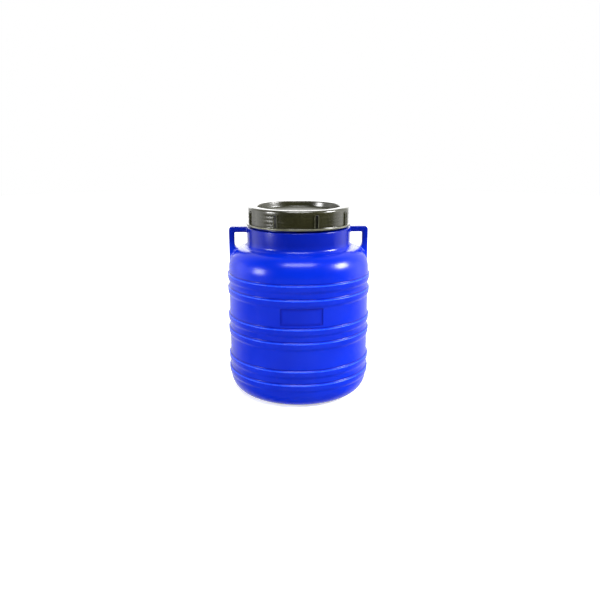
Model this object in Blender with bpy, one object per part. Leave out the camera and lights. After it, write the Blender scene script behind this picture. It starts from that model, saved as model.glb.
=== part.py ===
"""Plastic drum with a screw lid.

A blow-moulded shell carries three pairs of ring bands, two moulded ear handles and a threaded
neck. A loose inner lid lies on the neck rim, a flat gasket lies on the inner lid, and a screw
lid with grip lugs holds both down. Metres, +Z up, base on z = 0, front panel towards -Y,
handles on the X axis.
"""
import math

import bmesh
import bpy
from mathutils import Matrix

# Turning and clearances
SEGMENTS = 40
SMALL_ROUND_STEPS = 2
RIM_ROUND_STEPS = 3
LARGE_ROUND_STEPS = 4
SEAT_GAP = 0.0003
CUT_OVERRUN = 0.010
WELD = 0.00001
SHARP_DEG = 35

# Barrel of the shell
WALL = 0.0030
BODY_RADIUS = 0.1802
BASE_CORNER_WIDTH = 0.0409
BASE_CORNER_HEIGHT = 0.0475
BASE_CORNER_STEPS = 5
STAND_WIDTH = 0.0178
PUSH_UP = 0.0090
PUSH_UP_FLANK = 0.0150
PINCH_END_GAP = 0.0240
PINCH_WIDTH = 0.0030
PINCH_HEIGHT = 0.0016

# Ring bands, in pairs
RING_PROUD = 0.0038
RING_HEIGHT = 0.0212
RING_LOWER_FLANK = 0.0054
RING_UPPER_FLANK = 0.0030
RING_TAPER = 0.0006
RING_INNER_FLANK = 0.0030
LOWEST_RING_TOP = 0.0677
RING_PITCH = 0.0352
PAIR_PITCH = 0.10645
PAIR_COUNT = 3

# Bare panel between the upper and the middle pair
PANEL_WIDTH = 0.1040
PANEL_DEPTH = 0.0014
PANEL_TOP_GAP = 0.0008
PANEL_FOOT_GAP = 0.0070

# Shoulder and collar
SHOULDER_GAP = 0.0092
SHOULDER_WIDTH = 0.0393
SHOULDER_HEIGHT = 0.0540
SHOULDER_STEPS = 6
CROWN_SLOPE_DEG = 4
FILLET_RADIUS = 0.0120
FILLET_STEPS = 3
COLLAR_HEIGHT = 0.0517
COLLAR_LEDGE = 0.0129
COLLAR_ROUND = 0.0030

# Neck finish and its thread
NECK_WALL = 0.0036
NECK_HEIGHT = 0.0419
NECK_EDGE = 0.0008
THREAD_PITCH = 0.0120
THREAD_TURNS = 1.75
THREAD_DEPTH = 0.0042
THREAD_ROOT_WIDTH = 0.0046
THREAD_CREST_WIDTH = 0.0026
THREAD_TOP_DROP = 0.0062
THREAD_START_DEG = 135
THREAD_RUN_OUT_DEG = 27
THREAD_RADIAL_GAP = 0.0012
THREAD_FLANK_GAP = 0.0005
THREAD_SINK = 0.0010

# Ear handles
HANDLE_SET_BACK = 0.0026
HANDLE_LEG = 0.0138
HANDLE_BAR = 0.0141
HANDLE_DEPTH = 0.0220
HANDLE_TOP_DROP = 0.0004
HANDLE_OUTER_ROUND = 0.0085
HANDLE_INNER_ROUND = 0.0030
HANDLE_FOOT_ROUND = 0.0110
HANDLE_COLLAR_ROUND = 0.0040
HANDLE_EDGE = 0.0022
HANDLE_SINK = 0.0010
HANDLE_FOOT_DEPTH = 0.0120

# Inner lid
INNER_FLANGE_THICKNESS = 0.0022
INNER_FLANGE_SET_BACK = 0.0004
INNER_SIDE_GAP = 0.0010
INNER_WALL = 0.0018
INNER_ROUND = 0.0030
GRIP_RING_RADIUS = 0.0300
GRIP_RING_WIDTH = 0.0030
GRIP_RING_HEIGHT = 0.0080
GRIP_RING_GAP = 0.0010

# Gasket
GASKET_THICKNESS = 0.0034
GASKET_OVERHANG = 0.0010
GASKET_BORE_GAP = 0.0008
GASKET_EDGE = 0.0006

# Screw lid
LID_WALL = 0.0031
LID_PLATE = 0.0034
LID_COLLAR_GAP = 0.0049
LID_RIM_ROUND = 0.0055
LID_INNER_ROUND = 0.0020
FLANGE_PROUD = 0.0063
FLANGE_HEIGHT = 0.0048
FLANGE_ROUND = 0.0014
SKIRT_RIB_COUNT = 4
SKIRT_RIB_PROUD = 0.0005
PLUG_SIDE_GAP = 0.0044
PLUG_WALL = 0.0030
PLUG_FLOOR = 0.0030
RECESS_DRAFT = 0.0015
RECESS_DEPTH = 0.0150
RECESS_ROUND = 0.0028
BOSS_RADIUS = 0.0430
BOSS_HEIGHT = 0.0018
BOSS_FLANK = 0.0024
LUG_COUNT = 8
LUG_FIRST_DEG = 17.1
LUG_WIDTH = 0.0108
LUG_PROUD = 0.0032
LUG_TOP_DROP = 0.0094
LUG_BORDER = 0.0018
LUG_DISH = 0.0020
LUG_ROUND_STEPS = 6
LUG_SINK = 0.0015

# Radii worked out from the sizes above
STEP_DEG = 360 / SEGMENTS
CROWN_SLOPE = math.radians(CROWN_SLOPE_DEG)
DOME_END = math.atan2(SHOULDER_HEIGHT, SHOULDER_WIDTH * math.tan(CROWN_SLOPE))
RING_RADIUS = BODY_RADIUS + RING_PROUD
STAND_OUTER_RADIUS = BODY_RADIUS - BASE_CORNER_WIDTH
STAND_INNER_RADIUS = STAND_OUTER_RADIUS - STAND_WIDTH
PUSH_UP_RADIUS = STAND_INNER_RADIUS - PUSH_UP_FLANK
SHOULDER_CENTRE = BODY_RADIUS - SHOULDER_WIDTH
FILLET_CENTRE = SHOULDER_CENTRE + SHOULDER_WIDTH * math.cos(DOME_END) + FILLET_RADIUS * math.sin(CROWN_SLOPE)
COLLAR_RADIUS = FILLET_CENTRE - FILLET_RADIUS
NECK_RADIUS = COLLAR_RADIUS - COLLAR_LEDGE
BORE_RADIUS = NECK_RADIUS - NECK_WALL
HANDLE_REACH = BODY_RADIUS - HANDLE_SET_BACK
INNER_WALL_RADIUS = BORE_RADIUS - INNER_SIDE_GAP
PLUG_RADIUS = INNER_WALL_RADIUS - INNER_WALL - PLUG_SIDE_GAP
RECESS_RADIUS = PLUG_RADIUS - PLUG_WALL
SKIRT_INNER_RADIUS = NECK_RADIUS + THREAD_DEPTH + THREAD_RADIAL_GAP
LID_RADIUS = SKIRT_INNER_RADIUS + LID_WALL
FLANGE_RADIUS = LID_RADIUS + FLANGE_PROUD
THREAD_FLARE_SHARE = (THREAD_ROOT_WIDTH - THREAD_CREST_WIDTH) / 2 / THREAD_DEPTH

# Heights worked out from the sizes above
LOWEST_RING_FOOT = LOWEST_RING_TOP - RING_HEIGHT
HIGHEST_RING_TOP = LOWEST_RING_TOP + (PAIR_COUNT - 1) * PAIR_PITCH + RING_PITCH
PANEL_TOP = HIGHEST_RING_TOP - RING_PITCH - RING_HEIGHT - PANEL_TOP_GAP
PANEL_FOOT = HIGHEST_RING_TOP - PAIR_PITCH + PANEL_FOOT_GAP
SHOULDER_START = HIGHEST_RING_TOP + SHOULDER_GAP
CROWN = SHOULDER_START + SHOULDER_HEIGHT * math.sin(DOME_END)
COLLAR_TOP = CROWN + COLLAR_HEIGHT
NECK_RIM = COLLAR_TOP + NECK_HEIGHT
INNER_LID_Z = NECK_RIM + SEAT_GAP
GASKET_Z = INNER_LID_Z + INNER_FLANGE_THICKNESS + SEAT_GAP
PLATE_UNDER = GASKET_Z + GASKET_THICKNESS + SEAT_GAP
LID_Z = COLLAR_TOP + LID_COLLAR_GAP
LID_HEIGHT = PLATE_UNDER + LID_PLATE - LID_Z
PLUG_UNDER = LID_HEIGHT - RECESS_DEPTH - PLUG_FLOOR
SKIRT_RIB_PITCH = (LID_HEIGHT - LID_RIM_ROUND - FLANGE_HEIGHT) / SKIRT_RIB_COUNT


def clear_scene():
    """Remove whatever the open file holds."""
    for thing in list(bpy.data.objects):
        bpy.data.objects.remove(thing, do_unlink=True)


def plastic(name, colour, roughness):
    """A plain dyed plastic."""
    finish = bpy.data.materials.new(name)
    finish.use_nodes = True
    shader = finish.node_tree.nodes["Principled BSDF"]
    shader.inputs["Base Color"].default_value = (*colour, 1)
    shader.inputs["Roughness"].default_value = roughness
    shader.inputs["Metallic"].default_value = 0
    finish.diffuse_color = (*colour, 1)
    return finish


def arc(centre, sizes, start_deg, end_deg, steps):
    """Points along an ellipse with its centre and half sizes given as (radius, height)."""
    points = []
    for step in range(steps + 1):
        angle = math.radians(start_deg + (end_deg - start_deg) * step / steps)
        points.append((centre[0] + sizes[0] * math.cos(angle), centre[1] + sizes[1] * math.sin(angle)))
    return points


def make_object(name, bm, finish=None, z=0.0):
    """Turn a bmesh into a shaded object whose origin stands on the drum's axis at height z."""
    bmesh.ops.remove_doubles(bm, verts=bm.verts, dist=WELD)
    bmesh.ops.recalc_face_normals(bm, faces=bm.faces)
    mesh = bpy.data.meshes.new(name)
    bm.to_mesh(mesh)
    bm.free()
    mesh.shade_smooth()
    mesh.set_sharp_from_angle(angle=math.radians(SHARP_DEG))
    thing = bpy.data.objects.new(name, mesh)
    thing.location = (0, 0, z)
    bpy.context.scene.collection.objects.link(thing)
    if finish:
        mesh.materials.append(finish)
    return thing


def lathe(name, outline, finish=None, z=0.0, ring=False):
    """Turn an outline of (radius, height) points about the drum's axis.

    Its two ends are closed by flat discs, unless it is the closed outline of a ring.
    """
    bm = bmesh.new()
    verts = [bm.verts.new((radius, 0, height)) for radius, height in outline]
    edges = [bm.edges.new(pair) for pair in zip(verts, verts[1:])]
    if ring:
        edges.append(bm.edges.new((verts[-1], verts[0])))
    bmesh.ops.spin(bm, geom=verts + edges, cent=(0, 0, 0), axis=(0, 0, 1), dvec=(0, 0, 0),
                   angle=math.tau, steps=SEGMENTS, use_merge=True)
    if not ring:
        bmesh.ops.holes_fill(bm, edges=bm.edges)
    return make_object(name, bm, finish, z)


def prism(points, sweep):
    """Sweep a flat outline of points along a vector."""
    bm = bmesh.new()
    face = bm.faces.new([bm.verts.new(point) for point in points])
    swept = bmesh.ops.extrude_face_region(bm, geom=[face])
    far_end = [item for item in swept["geom"] if isinstance(item, bmesh.types.BMVert)]
    bmesh.ops.translate(bm, verts=far_end, vec=sweep)
    bmesh.ops.recalc_face_normals(bm, faces=bm.faces)
    return bm


def combine(target, tool, operation):
    """Join a tool to the target or cut it away; the tool stays a wire guide."""
    tool.hide_render = True
    tool.display_type = "WIRE"
    tool.parent = target
    change = target.modifiers.new(tool.name, "BOOLEAN")
    change.operation = operation
    change.solver = "EXACT"
    change.object = tool


def thread_ridge(name, wall_radius, side, top):
    """A right-hand helical ridge on a round wall, outward (side 1) or inward (side -1).

    Its ends run out into the wall with the flanks at their own slope, and its sections stand
    midway between the wall's own edges.
    """
    steps = round(SEGMENTS * THREAD_TURNS)
    run_out = THREAD_RUN_OUT_DEG / STEP_DEG
    root = wall_radius - side * THREAD_SINK
    root_half = THREAD_ROOT_WIDTH / 2 + THREAD_FLARE_SHARE * THREAD_SINK
    bm = bmesh.new()
    sections = []
    for step in range(steps + 1):
        full_share = min(1, step / run_out, (steps - step) / run_out)
        height = full_share * THREAD_DEPTH - (1 - full_share) * THREAD_SINK / 2
        crest = wall_radius + side * height
        crest_half = THREAD_ROOT_WIDTH / 2 - THREAD_FLARE_SHARE * height
        angle = math.radians(THREAD_START_DEG + (step + 1 / 2) * STEP_DEG)
        middle = top - THREAD_PITCH * (steps - step) / SEGMENTS
        corners = ((root, -root_half), (crest, -crest_half), (crest, crest_half), (root, root_half))
        sections.append([bm.verts.new((radius * math.cos(angle), radius * math.sin(angle), middle + rise))
                         for radius, rise in corners])
    for first, second in zip(sections, sections[1:]):
        for corner in range(4):
            following = (corner + 1) % 4
            bm.faces.new((first[corner], second[corner], second[following], first[following]))
    bm.faces.new(sections[0])
    bm.faces.new(sections[-1])
    bmesh.ops.triangulate(bm, faces=bm.faces)
    return make_object(name, bm)


def ring_band(foot, radius_out, radius_in, inset, lower_flank, upper_flank):
    """One raised band of the barrel, widest at its upper edge, from its foot to its top."""
    low = foot + inset
    high = foot + RING_HEIGHT - inset
    crest = [(radius_out - RING_TAPER, low + lower_flank), (radius_out, high - upper_flank)]
    return [(radius_in, low)] + crest + [(radius_in, high)]


def ring_feet():
    """Heights of the lower edges of all bands, lowest first."""
    return [LOWEST_RING_FOOT + pair * PAIR_PITCH + ring * RING_PITCH
            for pair in range(PAIR_COUNT) for ring in range(2)]


def base_corner(inset, band_low):
    """The round lower corner, which stops where the lowest band starts."""
    height = BASE_CORNER_HEIGHT - inset
    lift = min(0, max(-1, (band_low - BASE_CORNER_HEIGHT) / height))
    sizes = (BASE_CORNER_WIDTH - inset, height)
    corner = arc((STAND_OUTER_RADIUS, BASE_CORNER_HEIGHT), sizes, -90, math.degrees(math.asin(lift)),
                 BASE_CORNER_STEPS)
    return corner[:-1]


def shoulder(inset):
    """The domed shoulder and the hollow fillet that leads up to the collar."""
    sizes = (SHOULDER_WIDTH - inset, SHOULDER_HEIGHT - inset)
    dome = arc((SHOULDER_CENTRE, SHOULDER_START), sizes, 0, math.degrees(DOME_END), SHOULDER_STEPS)
    hollow_size = FILLET_RADIUS + inset
    hollow = arc((FILLET_CENTRE, CROWN + FILLET_RADIUS * math.cos(CROWN_SLOPE)), (hollow_size, hollow_size),
                 -90 - CROWN_SLOPE_DEG, -180, FILLET_STEPS)
    return dome + hollow[1:]


def shoulder_height(radius):
    """Height of the dome's outer surface at a radius."""
    share = (radius - SHOULDER_CENTRE) / SHOULDER_WIDTH
    return SHOULDER_START + SHOULDER_HEIGHT * math.sqrt(max(0, 1 - share * share))


def shell_outline():
    """Outer outline, from the raised middle of the base to the rim of the mouth."""
    feet = ring_feet()
    outline = [(PUSH_UP_RADIUS, PUSH_UP), (STAND_INNER_RADIUS, 0)]
    outline += base_corner(0, feet[0])
    for foot in feet:
        outline += ring_band(foot, RING_RADIUS, BODY_RADIUS, 0, RING_LOWER_FLANK, RING_UPPER_FLANK)
    outline += shoulder(0)
    rounding = (COLLAR_ROUND, COLLAR_ROUND)
    outline += arc((COLLAR_RADIUS - COLLAR_ROUND, COLLAR_TOP - COLLAR_ROUND), rounding, 0, 90,
                   SMALL_ROUND_STEPS)
    outline += [(NECK_RADIUS, COLLAR_TOP), (NECK_RADIUS, NECK_RIM - NECK_EDGE)]
    outline += [(NECK_RADIUS - NECK_EDGE, NECK_RIM)]
    return outline


def cavity_outline():
    """Inner outline, one wall inside the outer one, from the floor to above the mouth."""
    feet = ring_feet()
    ring_in = RING_RADIUS - WALL
    body_in = BODY_RADIUS - WALL
    outline = [(PUSH_UP_RADIUS + WALL / 2, PUSH_UP + WALL), (STAND_INNER_RADIUS + WALL / 2, WALL)]
    outline += base_corner(WALL, feet[0] + WALL)
    for foot in feet:
        outline += ring_band(foot, ring_in, body_in, WALL, RING_INNER_FLANK, RING_INNER_FLANK)
    outline += shoulder(WALL)
    outline += [(COLLAR_RADIUS - WALL, COLLAR_TOP - WALL), (BORE_RADIUS, COLLAR_TOP - WALL)]
    outline += [(BORE_RADIUS, NECK_RIM + CUT_OVERRUN)]
    return outline


def handle(name, side):
    """One flat ear: a bar out from the collar and a leg down to the dome, with round corners."""
    top = COLLAR_TOP - HANDLE_TOP_DROP
    bar = top - HANDLE_BAR
    leg = HANDLE_REACH - HANDLE_LEG
    buried = COLLAR_RADIUS - WALL - HANDLE_SINK
    foot_x = leg - HANDLE_FOOT_ROUND
    foot_z = shoulder_height(foot_x) + HANDLE_FOOT_ROUND - HANDLE_SINK
    deep = shoulder_height(HANDLE_REACH) - HANDLE_FOOT_DEPTH
    outer = HANDLE_OUTER_ROUND
    inner = HANDLE_INNER_ROUND
    collar = HANDLE_COLLAR_ROUND
    collar_x = COLLAR_RADIUS - HANDLE_SINK + collar
    outline = [(buried, top)]
    outline += arc((HANDLE_REACH - outer, top - outer), (outer, outer), 90, 0, LARGE_ROUND_STEPS)
    outline += [(HANDLE_REACH, deep), (foot_x, deep)]
    outline += arc((foot_x, foot_z), (HANDLE_FOOT_ROUND, HANDLE_FOOT_ROUND), -90, 0, LARGE_ROUND_STEPS)
    outline += arc((leg - inner, bar - inner), (inner, inner), 0, 90, SMALL_ROUND_STEPS)
    outline += arc((collar_x, bar - collar), (collar, collar), 90, 180, SMALL_ROUND_STEPS)
    outline += [(buried, bar - collar)]
    bm = prism([(side * x, -HANDLE_DEPTH / 2, z) for x, z in outline], (0, HANDLE_DEPTH, 0))
    rims = [edge for edge in bm.edges if abs(edge.verts[0].co.y - edge.verts[1].co.y) < WELD]
    bmesh.ops.bevel(bm, geom=rims, offset=HANDLE_EDGE, segments=1, profile=0.5, affect="EDGES")
    return make_object(name, bm)


def facet_radius(radius, angle_deg):
    """Distance from the axis to a turned wall's flat facet, for an angle from the front."""
    from_middle = math.radians(angle_deg % STEP_DEG - STEP_DEG / 2)
    return radius * math.cos(math.radians(STEP_DEG / 2)) / math.cos(from_middle)


def panel_cutter(name):
    """A curved block that sinks the bare front panel into the barrel."""
    half_deg = math.degrees(PANEL_WIDTH / 2 / BODY_RADIUS)
    count = int(half_deg // STEP_DEG)
    angles = [-half_deg] + [index * STEP_DEG for index in range(-count, count + 1)] + [half_deg]
    outside = RING_RADIUS + CUT_OVERRUN
    outline = [(facet_radius(BODY_RADIUS, angle_deg) - PANEL_DEPTH, angle_deg) for angle_deg in angles]
    outline += [(outside, angle_deg) for angle_deg in reversed(angles)]
    points = []
    for radius, angle_deg in outline:
        angle = math.radians(angle_deg)
        points.append((radius * math.sin(angle), -radius * math.cos(angle), PANEL_FOOT))
    return make_object(name, prism(points, (0, 0, PANEL_TOP - PANEL_FOOT)))


def pinch_line(name):
    """The weld line that the mould leaves across the underside, along the handles' plane."""
    length = 2 * (PUSH_UP_RADIUS - PINCH_END_GAP)
    bm = bmesh.new()
    bmesh.ops.create_cube(bm, size=1)
    bmesh.ops.scale(bm, verts=bm.verts, vec=(length, PINCH_WIDTH, 2 * PINCH_HEIGHT))
    bmesh.ops.translate(bm, verts=bm.verts, vec=(0, 0, PUSH_UP))
    return make_object(name, bm)


def make_shell(finish):
    """The blow-moulded drum: a turned body joined to handles and thread, then hollowed."""
    shell = lathe("drum_shell", shell_outline(), finish)
    combine(shell, handle("left_handle_form", -1), "UNION")
    combine(shell, handle("right_handle_form", 1), "UNION")
    ridge = thread_ridge("neck_thread_form", NECK_RADIUS, 1, NECK_RIM - THREAD_TOP_DROP)
    combine(shell, ridge, "UNION")
    combine(shell, pinch_line("pinch_line_form"), "UNION")
    combine(shell, panel_cutter("panel_form"), "DIFFERENCE")
    combine(shell, lathe("cavity_form", cavity_outline()), "DIFFERENCE")
    return shell


def make_inner_lid(finish):
    """A loose dished cover with a ring to grip; its flange lies on the neck rim."""
    wall_in = INNER_WALL_RADIUS - INNER_WALL
    flange = NECK_RADIUS - INNER_FLANGE_SET_BACK
    floor = LID_Z + PLUG_UNDER - GRIP_RING_GAP - GRIP_RING_HEIGHT - INNER_LID_Z
    under = floor - INNER_WALL
    ring_in = GRIP_RING_RADIUS - GRIP_RING_WIDTH / 2
    ring_out = GRIP_RING_RADIUS + GRIP_RING_WIDTH / 2
    ring_top = floor + GRIP_RING_HEIGHT
    outline = [(ring_in, floor), (ring_in, ring_top), (ring_out, ring_top), (ring_out, floor)]
    outline += [(wall_in - INNER_ROUND, floor), (wall_in, floor + INNER_ROUND)]
    outline += [(wall_in, INNER_FLANGE_THICKNESS), (flange, INNER_FLANGE_THICKNESS), (flange, 0)]
    outline += [(INNER_WALL_RADIUS, 0), (INNER_WALL_RADIUS, under + INNER_ROUND)]
    outline += [(INNER_WALL_RADIUS - INNER_ROUND, under)]
    return lathe("inner_lid", outline, finish, INNER_LID_Z)


def make_gasket(finish):
    """A flat rubber ring round the lid's plug, over the neck rim."""
    bore = PLUG_RADIUS + GASKET_BORE_GAP
    outer = NECK_RADIUS + GASKET_OVERHANG
    edge = GASKET_EDGE
    outline = [(bore, 0), (outer - edge, 0), (outer, edge)]
    outline += [(outer, GASKET_THICKNESS - edge), (outer - edge, GASKET_THICKNESS)]
    outline += [(bore, GASKET_THICKNESS)]
    return lathe("lid_gasket", outline, finish, GASKET_Z, ring=True)


def lid_outline():
    """Outline of the screw lid from the boss on its top, round the skirt, to its underside."""
    floor = LID_HEIGHT - RECESS_DEPTH
    under = LID_HEIGHT - LID_PLATE
    recess_low = RECESS_RADIUS - RECESS_DRAFT
    plug_low = PLUG_RADIUS - RECESS_DRAFT
    rounding = (RECESS_ROUND, RECESS_ROUND)
    rim_rounding = (LID_RIM_ROUND, LID_RIM_ROUND)
    outline = [(BOSS_RADIUS, floor + BOSS_HEIGHT), (BOSS_RADIUS + BOSS_FLANK, floor)]
    outline += arc((recess_low - RECESS_ROUND, floor + RECESS_ROUND), rounding, -90, 0, SMALL_ROUND_STEPS)
    outline += arc((RECESS_RADIUS + RECESS_ROUND, LID_HEIGHT - RECESS_ROUND), rounding, 180, 90,
                   SMALL_ROUND_STEPS)
    outline += arc((LID_RADIUS - LID_RIM_ROUND, LID_HEIGHT - LID_RIM_ROUND), rim_rounding, 90, 0,
                   RIM_ROUND_STEPS)
    for rib in reversed(range(SKIRT_RIB_COUNT)):
        foot = FLANGE_HEIGHT + rib * SKIRT_RIB_PITCH
        outline += [(LID_RADIUS + SKIRT_RIB_PROUD, foot + SKIRT_RIB_PITCH / 2), (LID_RADIUS, foot)]
    outline += [(FLANGE_RADIUS - FLANGE_ROUND, FLANGE_HEIGHT)]
    outline += [(FLANGE_RADIUS, FLANGE_HEIGHT - FLANGE_ROUND), (FLANGE_RADIUS, FLANGE_ROUND)]
    outline += [(FLANGE_RADIUS - FLANGE_ROUND, 0), (SKIRT_INNER_RADIUS, 0)]
    outline += [(SKIRT_INNER_RADIUS, under - LID_INNER_ROUND), (SKIRT_INNER_RADIUS - LID_INNER_ROUND, under)]
    outline += [(PLUG_RADIUS, under), (plug_low, PLUG_UNDER + LID_INNER_ROUND)]
    outline += [(plug_low - LID_INNER_ROUND, PLUG_UNDER)]
    return outline


def lug_forms(name):
    """Round-topped grip lugs with a raised border, set evenly round the skirt."""
    half = LUG_WIDTH / 2
    top = LID_HEIGHT - LUG_TOP_DROP
    outline = [(-half, FLANGE_HEIGHT - LUG_SINK), (half, FLANGE_HEIGHT - LUG_SINK)]
    outline += arc((0, top - half), (half, half), 0, 180, LUG_ROUND_STEPS)
    bm = bmesh.new()
    for lug in range(LUG_COUNT):
        others = set(bm.verts)
        buried = [bm.verts.new((across, LUG_SINK - LID_RADIUS, height)) for across, height in outline]
        extruded = bmesh.ops.extrude_face_region(bm, geom=[bm.faces.new(buried)], use_keep_orig=True)
        outer = [item for item in extruded["geom"] if isinstance(item, bmesh.types.BMVert)]
        front = [item for item in extruded["geom"] if isinstance(item, bmesh.types.BMFace)]
        bmesh.ops.translate(bm, verts=outer, vec=(0, -LUG_SINK - LUG_PROUD, 0))
        bmesh.ops.inset_region(bm, faces=front, thickness=LUG_BORDER)
        bmesh.ops.translate(bm, verts=front[0].verts, vec=(0, LUG_DISH, 0))
        added = [vert for vert in bm.verts if vert not in others]
        turn = Matrix.Rotation(math.radians(LUG_FIRST_DEG + lug * 360 / LUG_COUNT), 3, "Z")
        bmesh.ops.rotate(bm, verts=added, cent=(0, 0, 0), matrix=turn)
    return make_object(name, bm)


def make_screw_lid(finish):
    """The threaded cap with its recessed top, ribbed skirt, lugs and bottom flange.

    Its thread lies under the neck's, one flank gap below it.
    """
    lid = lathe("screw_lid", lid_outline(), finish, LID_Z)
    combine(lid, lug_forms("lug_forms"), "UNION")
    flanks = (THREAD_ROOT_WIDTH + THREAD_CREST_WIDTH) / 2 - THREAD_FLARE_SHARE * THREAD_RADIAL_GAP
    top = NECK_RIM - THREAD_TOP_DROP - flanks - THREAD_FLANK_GAP - LID_Z
    combine(lid, thread_ridge("lid_thread_form", SKIRT_INNER_RADIUS, -1, top), "UNION")
    return lid


def main():
    clear_scene()
    blue = plastic("blue_plastic", (0.006, 0.040, 0.720), 0.28)
    olive = plastic("olive_plastic", (0.030, 0.032, 0.012), 0.25)
    rubber = plastic("grey_rubber", (0.080, 0.080, 0.080), 0.75)
    natural = plastic("natural_plastic", (0.780, 0.780, 0.740), 0.45)
    make_shell(blue)
    make_inner_lid(natural)
    make_gasket(rubber)
    make_screw_lid(olive)


main()
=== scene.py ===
"""Plastic drum with a screw lid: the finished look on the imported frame.

The blown shell, the threaded cap, the inner lid and the gasket are modelled again with fine,
softened forms in the places of their solids, and get their moulded plastics and rubber.
"""
import math

import bmesh
import bpy
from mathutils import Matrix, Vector


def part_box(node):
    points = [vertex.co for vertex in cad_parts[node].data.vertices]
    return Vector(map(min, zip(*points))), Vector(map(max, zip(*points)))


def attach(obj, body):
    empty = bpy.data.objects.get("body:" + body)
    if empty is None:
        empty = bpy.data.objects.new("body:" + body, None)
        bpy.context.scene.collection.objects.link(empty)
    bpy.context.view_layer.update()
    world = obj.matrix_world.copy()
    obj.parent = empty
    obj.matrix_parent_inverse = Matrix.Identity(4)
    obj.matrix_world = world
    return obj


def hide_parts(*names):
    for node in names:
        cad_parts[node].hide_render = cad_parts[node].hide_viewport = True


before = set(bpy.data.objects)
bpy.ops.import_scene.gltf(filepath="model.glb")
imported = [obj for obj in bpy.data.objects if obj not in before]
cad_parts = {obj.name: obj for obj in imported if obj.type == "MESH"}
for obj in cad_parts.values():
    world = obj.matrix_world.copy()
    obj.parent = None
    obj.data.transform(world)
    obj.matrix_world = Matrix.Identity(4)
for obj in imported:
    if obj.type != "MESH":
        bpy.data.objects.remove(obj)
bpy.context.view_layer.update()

# Steps round the drum, round a corner and along each arc
STEPS = 160
FEW_STEPS = 2
SOFT_STEPS = 3
ROUND_STEPS = 4
BROAD_STEPS = 5
RIM_STEPS = 8
CORNER_STEPS = 20
DOME_STEPS = 22
HOLLOW_CORNER_STEPS = 12
HOLLOW_DOME_STEPS = 14
PANEL_STEPS = 24
EAR_STEPS = 8
LUG_STEPS = 12

# Edges that bend less than this are shaded smooth
SMOOTH = math.radians(32)

# The first square of each line, and how near counts as the same spot or as on a plane
SEED = 0.01
SAME_SPOT = 1e-5
SAME_PLANE = 1e-6

# Blown shell
WALL = 0.0030
BODY = 0.1802
RING_PROUD = 0.0038
RING_TAPER = 0.0006
RING = BODY + RING_PROUD
RING_HEIGHT = 0.0212
RING_TOPS = (0.0677, 0.1029, 0.17415, 0.20935, 0.2806, 0.3158)
RING_LOWER_ROUND = 0.0022
RING_CREST_ROUND = 0.0009
RING_TOP_ROUND = 0.0010
LOWER_FLANK = 0.0054
UPPER_FLANK = 0.0030
CORNER = (0.0409, 0.0475)
STAND_IN = 0.1215
STAND_ROUND = 0.0030
PUSH_UP = (0.1065, 0.0090)
PUSH_UP_ROUND = 0.0060
DOME_FOOT = 0.3250
DOME = (0.0393, 0.0540)
DOME_CENTRE = BODY - DOME[0]
CROWN_SLOPE_DEG = 4
CROWN_SLOPE = math.radians(CROWN_SLOPE_DEG)
FILLET = 0.0120
HOLLOW_FLOOR_ROUND = 0.0040
HOLLOW_RING_ROUND = 0.0012
HOLLOW_COLLAR_ROUND = 0.0025

# Bare front panel
PANEL_WIDTH = 0.1040
PANEL_DEPTH = 0.0014
PANEL_FOOT = 0.21635
PANEL_TOP = 0.2586
PANEL_OVERRUN = 0.0100

# Neck and collar
COLLAR = 0.13174
COLLAR_TOP = 0.43063
COLLAR_ROUND = 0.0030
NECK = 0.11884
NECK_FOOT_ROUND = 0.0012
BORE = 0.11524
RIM = 0.47253

# Threads of neck and cap
THREAD_PITCH = 0.0120
THREAD_TURNS = 1.75
THREAD_STEPS = round(STEPS * THREAD_TURNS)
THREAD_DEPTH = 0.0042
THREAD_FOOT = 0.0023
THREAD_CREST = 0.0013
THREAD_ROUND = 0.0006
THREAD_SINK = 0.0010
THREAD_START = 139.5 + 180 / STEPS
THREAD_TOP = RIM - 0.0062
THREAD_RADIAL_GAP = 0.0012
THREAD_FLANK_GAP = 0.0005
RUN_OUT = 27
RUN_OUT_SINK = 0.0008
RUN_OUT_REACH = 0.0015

# Ear handles
REACH = 0.1776
LEG = 0.0138
BAR = 0.0141
EAR_DEPTH = 0.0220
EAR_TOP = COLLAR_TOP - 0.0004
EAR_SINK = 0.0010
EAR_OUTER_ROUND = 0.0085
EAR_INNER_ROUND = 0.0030
EAR_COLLAR_ROUND = 0.0040
EAR_COLLAR_SET = 0.0030
EAR_EDGE = 0.0026
FOOT_ROUND = 0.0110
FOOT_BACK = 0.0080
FOOT_SINK = 0.0040
FOOT_DEPTH = 0.0120
FOOT_SPOT = 0.1670
FOOT_WAY = (0.76, 0.65)

# Flares of the ears: how far off the wall each cut lies, and how much wider the bar is there
FOOT_FLARE = ((0.0065, 1.03), (0.0045, 1.06), (0.0028, 1.09), (0.0014, 1.12), (0.0004, 1.15))
COLLAR_FLARE = ((0.0060, 1.03), (0.0040, 1.05), (0.0024, 1.08), (0.0012, 1.11), (0.0003, 1.14))

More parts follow.
